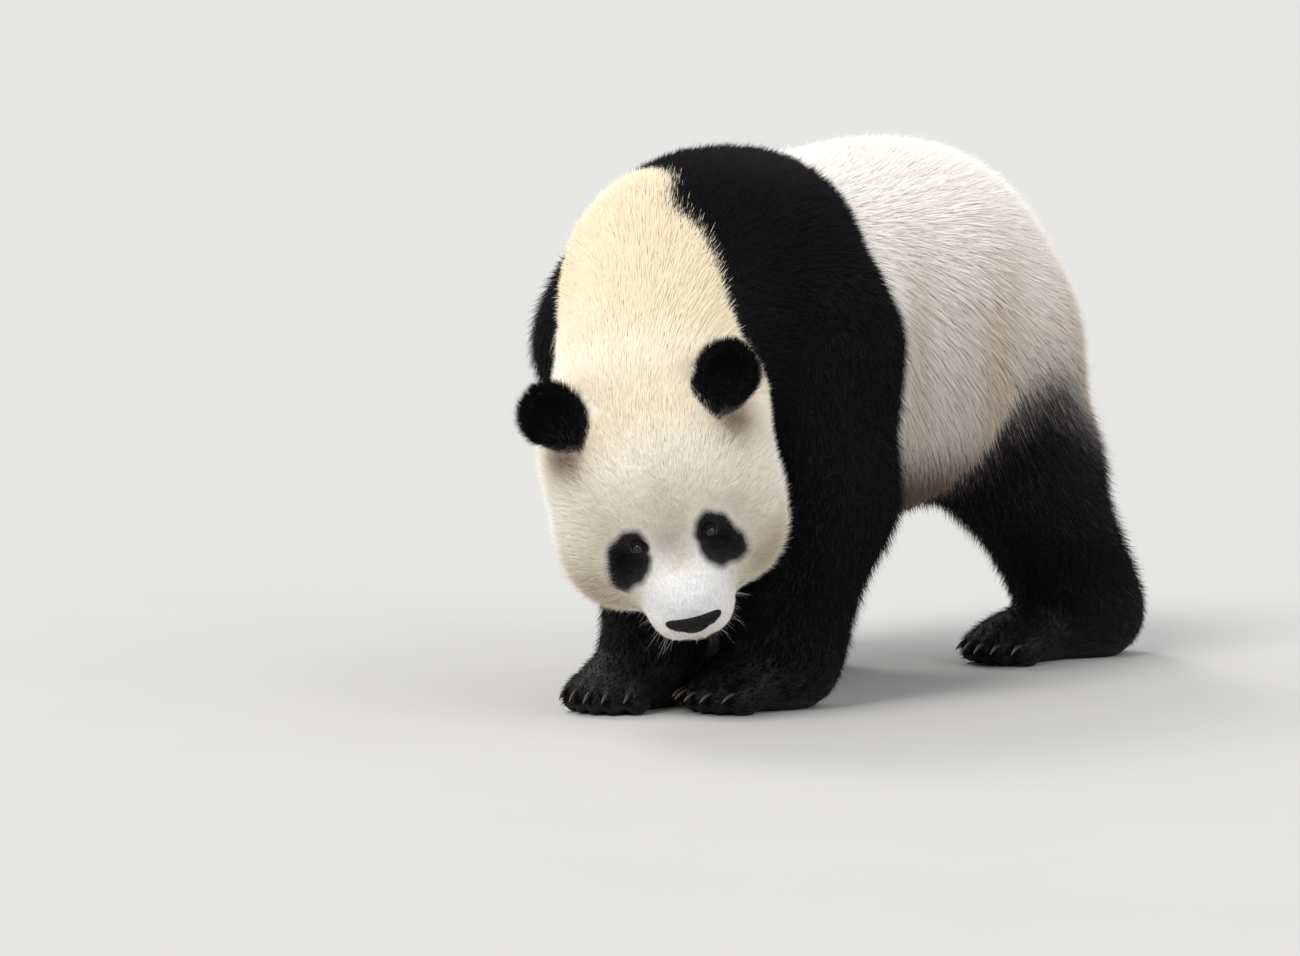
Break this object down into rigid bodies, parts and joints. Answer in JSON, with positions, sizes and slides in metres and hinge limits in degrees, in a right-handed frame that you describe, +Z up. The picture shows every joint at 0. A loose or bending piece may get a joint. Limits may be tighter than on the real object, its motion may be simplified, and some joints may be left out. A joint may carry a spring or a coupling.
{
  "type": "giant panda model",
  "caption": "Life-size still model of a giant panda in a slow walk, head lowered and turned to its left, with a thick black and white coat.",
  "frame": {"origin": "middle of the bounding box, on the floor plane under the paws", "axes": "+Z up, +Y towards the rump along the spine, the walk goes towards -Y, +X is the animal's left side"},
  "size_m": [0.5132, 1.2024, 0.6987],
  "materials": {
    "white_coat": "cream-white hair, faintly yellow on the neck",
    "black_coat": "black hair with a soft sheen",
    "nose": "bare black skin, slightly moist",
    "eye": "clear wet gloss over dark brown",
    "claw": "pale brown horn"
  },
  "bodies": {
    "root": {"torso": "white_coat", "left_fore_upper_arm": "black_coat", "left_fore_forearm": "black_coat", "left_fore_paw": "black_coat", "right_fore_upper_arm": "black_coat", "right_fore_forearm": "black_coat", "right_fore_paw": "black_coat", "left_hind_thigh": "black_coat", "left_hind_shin": "black_coat", "left_hind_paw": "black_coat", "right_hind_thigh": "black_coat", "right_hind_shin": "black_coat", "right_hind_paw": "black_coat", "neck": "white_coat", "left_eye": "eye", "right_eye": "eye", "head": "white_coat", "left_ear": "black_coat", "right_ear": "black_coat", "tail": "white_coat", "nose": "nose", "left_fore_claw_1": "claw", "left_fore_claw_2": "claw", "left_fore_claw_3": "claw", "left_fore_claw_4": "claw", "left_fore_claw_5": "claw", "right_fore_claw_1": "claw", "right_fore_claw_2": "claw", "right_fore_claw_3": "claw", "right_fore_claw_4": "claw", "right_fore_claw_5": "claw", "left_hind_claw_1": "claw", "left_hind_claw_2": "claw", "left_hind_claw_3": "claw", "left_hind_claw_4": "claw", "left_hind_claw_5": "claw", "right_hind_claw_1": "claw", "right_hind_claw_2": "claw", "right_hind_claw_3": "claw", "right_hind_claw_4": "claw", "right_hind_claw_5": "claw"}
  },
  "joints": []
}
